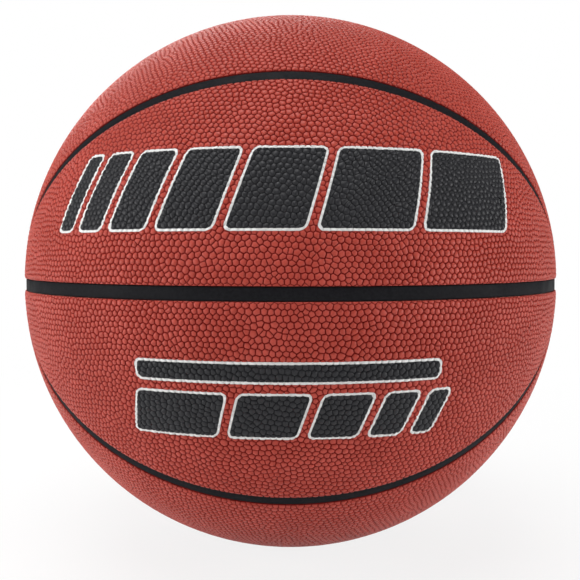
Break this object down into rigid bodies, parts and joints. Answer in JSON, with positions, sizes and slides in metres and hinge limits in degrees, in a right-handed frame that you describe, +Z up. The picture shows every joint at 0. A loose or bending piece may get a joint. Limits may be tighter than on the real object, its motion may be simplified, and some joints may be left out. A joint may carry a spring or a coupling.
{
  "type": "basketball",
  "caption": "Inflatable game ball: pebbled leather panels between black recessed channels over a rubber carcass, with a bladder and a needle valve.",
  "frame": {"origin": "centre of the ball", "axes": "+Z up; the equator channel lies in z = 0 and the meridian channel in y = 0; -Y is the front, the middle of one oval channel, and the valve is on the rear, +Y, above the equator"},
  "size_m": [0.2418, 0.2418, 0.2418],
  "materials": {
    "cover_leather": "pebbled composite leather, semi-matte",
    "channel_rubber": "smooth black rubber, semi-matte",
    "cushion_foam": "foam-backed fabric",
    "carcass_rubber": "moulded rubber, matte",
    "winding_thread": "wound thread",
    "bladder_rubber": "butyl rubber, matte",
    "valve_rubber": "soft black rubber, matte"
  },
  "bodies": {
    "ball": {"bladder": "bladder_rubber", "thread_winding": "winding_thread", "carcass": "carcass_rubber", "valve_boot": "valve_rubber", "channel_strip_equator": "channel_rubber", "channel_strip_meridian_upper": "channel_rubber", "channel_strip_meridian_lower": "channel_rubber", "channel_strip_oval_front_upper": "channel_rubber", "channel_strip_oval_front_lower": "channel_rubber", "channel_strip_oval_rear_upper": "channel_rubber", "channel_strip_oval_rear_lower": "channel_rubber", "cushion_pad_front_upper_inner": "cushion_foam", "cushion_pad_front_lower_inner": "cushion_foam", "cushion_pad_rear_upper_inner": "cushion_foam", "cushion_pad_rear_lower_inner": "cushion_foam", "cushion_pad_front_upper_outer": "cushion_foam", "cushion_pad_front_lower_outer": "cushion_foam", "cushion_pad_rear_upper_outer": "cushion_foam", "cushion_pad_rear_lower_outer": "cushion_foam", "cover_panel_front_upper_inner": "cover_leather", "cover_panel_front_lower_inner": "cover_leather", "cover_panel_rear_upper_inner": "cover_leather", "cover_panel_rear_lower_inner": "cover_leather", "cover_panel_front_upper_outer": "cover_leather", "cover_panel_front_lower_outer": "cover_leather", "cover_panel_rear_upper_outer": "cover_leather", "cover_panel_rear_lower_outer": "cover_leather"},
    "plug": {"valve_plug": "valve_rubber"}
  },
  "joints": [
    {"name": "plug_slide", "type": "slide", "parent": "ball", "child": "plug", "axis": [0, 0.9752, 0.2213], "range_m": [0, 0.03]}
  ]
}
